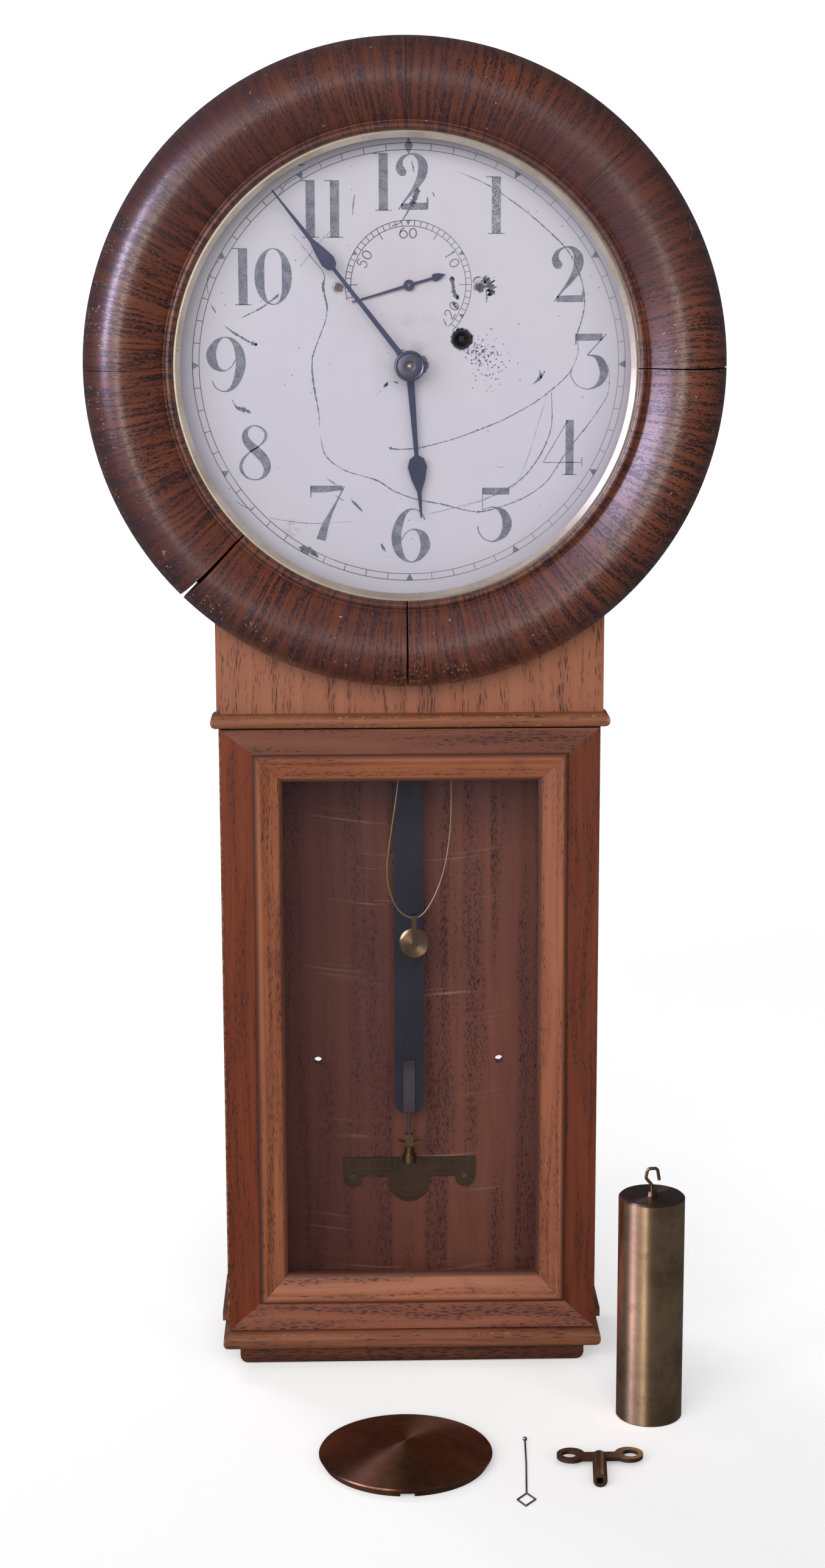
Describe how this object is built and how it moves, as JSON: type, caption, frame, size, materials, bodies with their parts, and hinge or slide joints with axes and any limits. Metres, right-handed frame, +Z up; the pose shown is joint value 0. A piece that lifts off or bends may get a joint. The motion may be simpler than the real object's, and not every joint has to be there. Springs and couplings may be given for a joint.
{
  "type": "schoolhouse wall clock",
  "caption": "Weight-driven oak wall clock with round bezel, painted dial, seconds hand, glazed trunk door, pendulum, pulley, loose weight, bob and key.",
  "frame": {"origin": "centre of the underside of the base block, on the floor that the clock stands on", "axes": "+Z up the clock, -Y out of the dial towards the viewer, +X to the right as seen from the front, +Y towards the wall"},
  "size_m": [0.4252, 0.323, 0.915],
  "materials": {
    "bezel_oak": "dark fumed oak under old satin varnish",
    "case_oak": "medium brown oak under old satin varnish",
    "door_oak": "medium red-brown oak under old satin varnish",
    "dial_paint": "aged off-white enamel on sheet metal, printed numerals",
    "glass": "clear old sheet glass with light dust",
    "blued_steel": "dark blued steel",
    "steel": "dull grey steel",
    "brass": "aged lacquered brass",
    "dark_brass": "brown patinated brass",
    "weight_brass": "vertically brushed brass tube, tarnished",
    "bob_brass": "circularly turned brass, tarnished",
    "rod_paint": "ebonised wood"
  },
  "bodies": {
    "case": {"backboard": "case_oak", "case_side_left": "case_oak", "case_side_right": "case_oak", "top_board": "case_oak", "base_block": "case_oak", "base_nosing": "case_oak", "base_coves": "case_oak", "neck_board": "case_oak", "dial_board": "case_oak", "bead_strip": "case_oak", "dial": "dial_paint", "winding_grommet": "dark_brass", "round_head_screws": "steel", "hanger_plate": "brass", "seat_board": "case_oak", "movement_front_plate": "brass", "movement_back_plate": "brass", "plate_pillars": "brass", "suspension_cock": "brass", "beat_scale": "dark_brass", "cable_anchor": "brass", "winding_cable": "brass", "door_pivot_pins": "steel", "door_catch": "brass", "bezel_hinge_case_leaf": "brass"},
    "bezel": {"bezel_segments": "bezel_oak", "sight_ring": "brass", "dial_glass": "glass", "bezel_hinge_leaf": "brass"},
    "door": {"door_stile_left": "door_oak", "door_stile_right": "door_oak", "door_rail_top": "door_oak", "door_rail_bottom": "door_oak", "door_mouldings": "door_oak", "door_glass": "glass"},
    "minute_train": {"centre_wheel": "brass", "minute_hand": "blued_steel"},
    "hour_train": {"hour_wheel": "brass", "hour_hand": "blued_steel"},
    "motion_train": {"minute_wheel": "brass"},
    "third_train": {"third_wheel": "brass"},
    "escape_train": {"escape_wheel": "brass", "seconds_hand": "blued_steel"},
    "great_train": {"great_wheel": "brass"},
    "drum": {"winding_drum": "brass"},
    "click": {"ratchet_click": "steel"},
    "verge": {"verge_and_crutch": "steel"},
    "pendulum": {"suspension_spring": "steel", "pendulum_rod": "rod_paint", "rod_tip_and_screw": "steel", "bob_seat": "brass"},
    "nut": {"rating_nut": "brass"},
    "pulley": {"pulley_yoke": "brass"},
    "sheave": {"pulley_sheave": "brass"},
    "weight_body": {"weight": "weight_brass", "weight_hook": "steel"},
    "bob_body": {"pendulum_bob": "bob_brass"},
    "key_body": {"winding_key": "dark_brass"},
    "wire_body": {"loop_wire": "steel"}
  },
  "joints": [
    {"name": "bezel_hinge", "type": "hinge", "parent": "case", "child": "bezel", "pos_m": [0.1924, -0.0404, 0.704], "axis": [0, 0, 1], "range_deg": [0, 110]},
    {"name": "door_hinge", "type": "hinge", "parent": "case", "child": "door", "pos_m": [0.1255, -0.038, 0.244], "axis": [0, 0, 1], "range_deg": [0, 84]},
    {"name": "minute_turn", "type": "hinge", "parent": "case", "child": "minute_train", "pos_m": [0, -0.052, 0.704], "axis": [0, 1, 0], "continuous": true},
    {"name": "hour_turn", "type": "hinge", "parent": "case", "child": "hour_train", "pos_m": [0, -0.052, 0.704], "axis": [0, 1, 0], "continuous": true},
    {"name": "motion_turn", "type": "hinge", "parent": "case", "child": "motion_train", "pos_m": [-0.01018, -0.028, 0.69382], "axis": [0, 1, 0], "continuous": true},
    {"name": "third_turn", "type": "hinge", "parent": "case", "child": "third_train", "pos_m": [-0.0162, -0.012, 0.731], "axis": [0, 1, 0], "continuous": true},
    {"name": "escape_turn", "type": "hinge", "parent": "case", "child": "escape_train", "pos_m": [0, -0.002, 0.756], "axis": [0, 1, 0], "continuous": true},
    {"name": "great_turn", "type": "hinge", "parent": "case", "child": "great_train", "pos_m": [0.0348, -0.019, 0.7208], "axis": [0, 1, 0], "continuous": true},
    {"name": "winding_turn", "type": "hinge", "parent": "great_train", "child": "drum", "pos_m": [0.0348, -0.012, 0.7208], "axis": [0, 1, 0], "continuous": true},
    {"name": "click_lift", "type": "hinge", "parent": "great_train", "child": "click", "pos_m": [0.0514, -0.017, 0.7208], "axis": [0, 1, 0], "range_deg": [-15, 0], "stiffness_Nm_per_rad": 0.0002, "springref_deg": 17.19},
    {"name": "pendulum_swing", "type": "hinge", "parent": "case", "child": "pendulum", "pos_m": [0, 0.023, 0.781], "axis": [0, 1, 0], "range_deg": [-3, 3]},
    {"name": "verge_turn", "type": "hinge", "parent": "case", "child": "verge", "pos_m": [0, 0.008, 0.781], "axis": [0, 1, 0], "range_deg": [-3, 3]},
    {"name": "rating_turn", "type": "hinge", "parent": "pendulum", "child": "nut", "pos_m": [0, 0.0212, 0.132], "axis": [0, 0, 1], "continuous": true},
    {"name": "pulley_swing", "type": "hinge", "parent": "case", "child": "pulley", "pos_m": [0.0032, -0.006, 0.3177], "axis": [0, 1, 0], "range_deg": [-18, 18]},
    {"name": "sheave_turn", "type": "hinge", "parent": "pulley", "child": "sheave", "pos_m": [0.0032, -0.006, 0.298], "axis": [0, 1, 0], "continuous": true},
    {"name": "weight_lift", "type": "slide", "parent": "case", "child": "weight_body", "axis": [0, 0, 1], "range_m": [0, 0.1]},
    {"name": "bob_lift", "type": "slide", "parent": "case", "child": "bob_body", "axis": [0, 0, 1], "range_m": [0, 0.012]},
    {"name": "key_lift", "type": "slide", "parent": "case", "child": "key_body", "axis": [0, 0, 1], "range_m": [0, 0.012]},
    {"name": "wire_lift", "type": "slide", "parent": "case", "child": "wire_body", "axis": [0, 0, 1], "range_m": [0, 0.012]}
  ],
  "couplings": [
    {"joint": "hour_turn", "follows": "minute_turn", "ratio": 0.083333},
    {"joint": "motion_turn", "follows": "minute_turn", "ratio": -0.33333},
    {"joint": "third_turn", "follows": "minute_turn", "ratio": -8},
    {"joint": "escape_turn", "follows": "minute_turn", "ratio": 60},
    {"joint": "great_turn", "follows": "minute_turn", "ratio": -0.083333},
    {"joint": "verge_turn", "follows": "pendulum_swing", "ratio": 1}
  ]
}
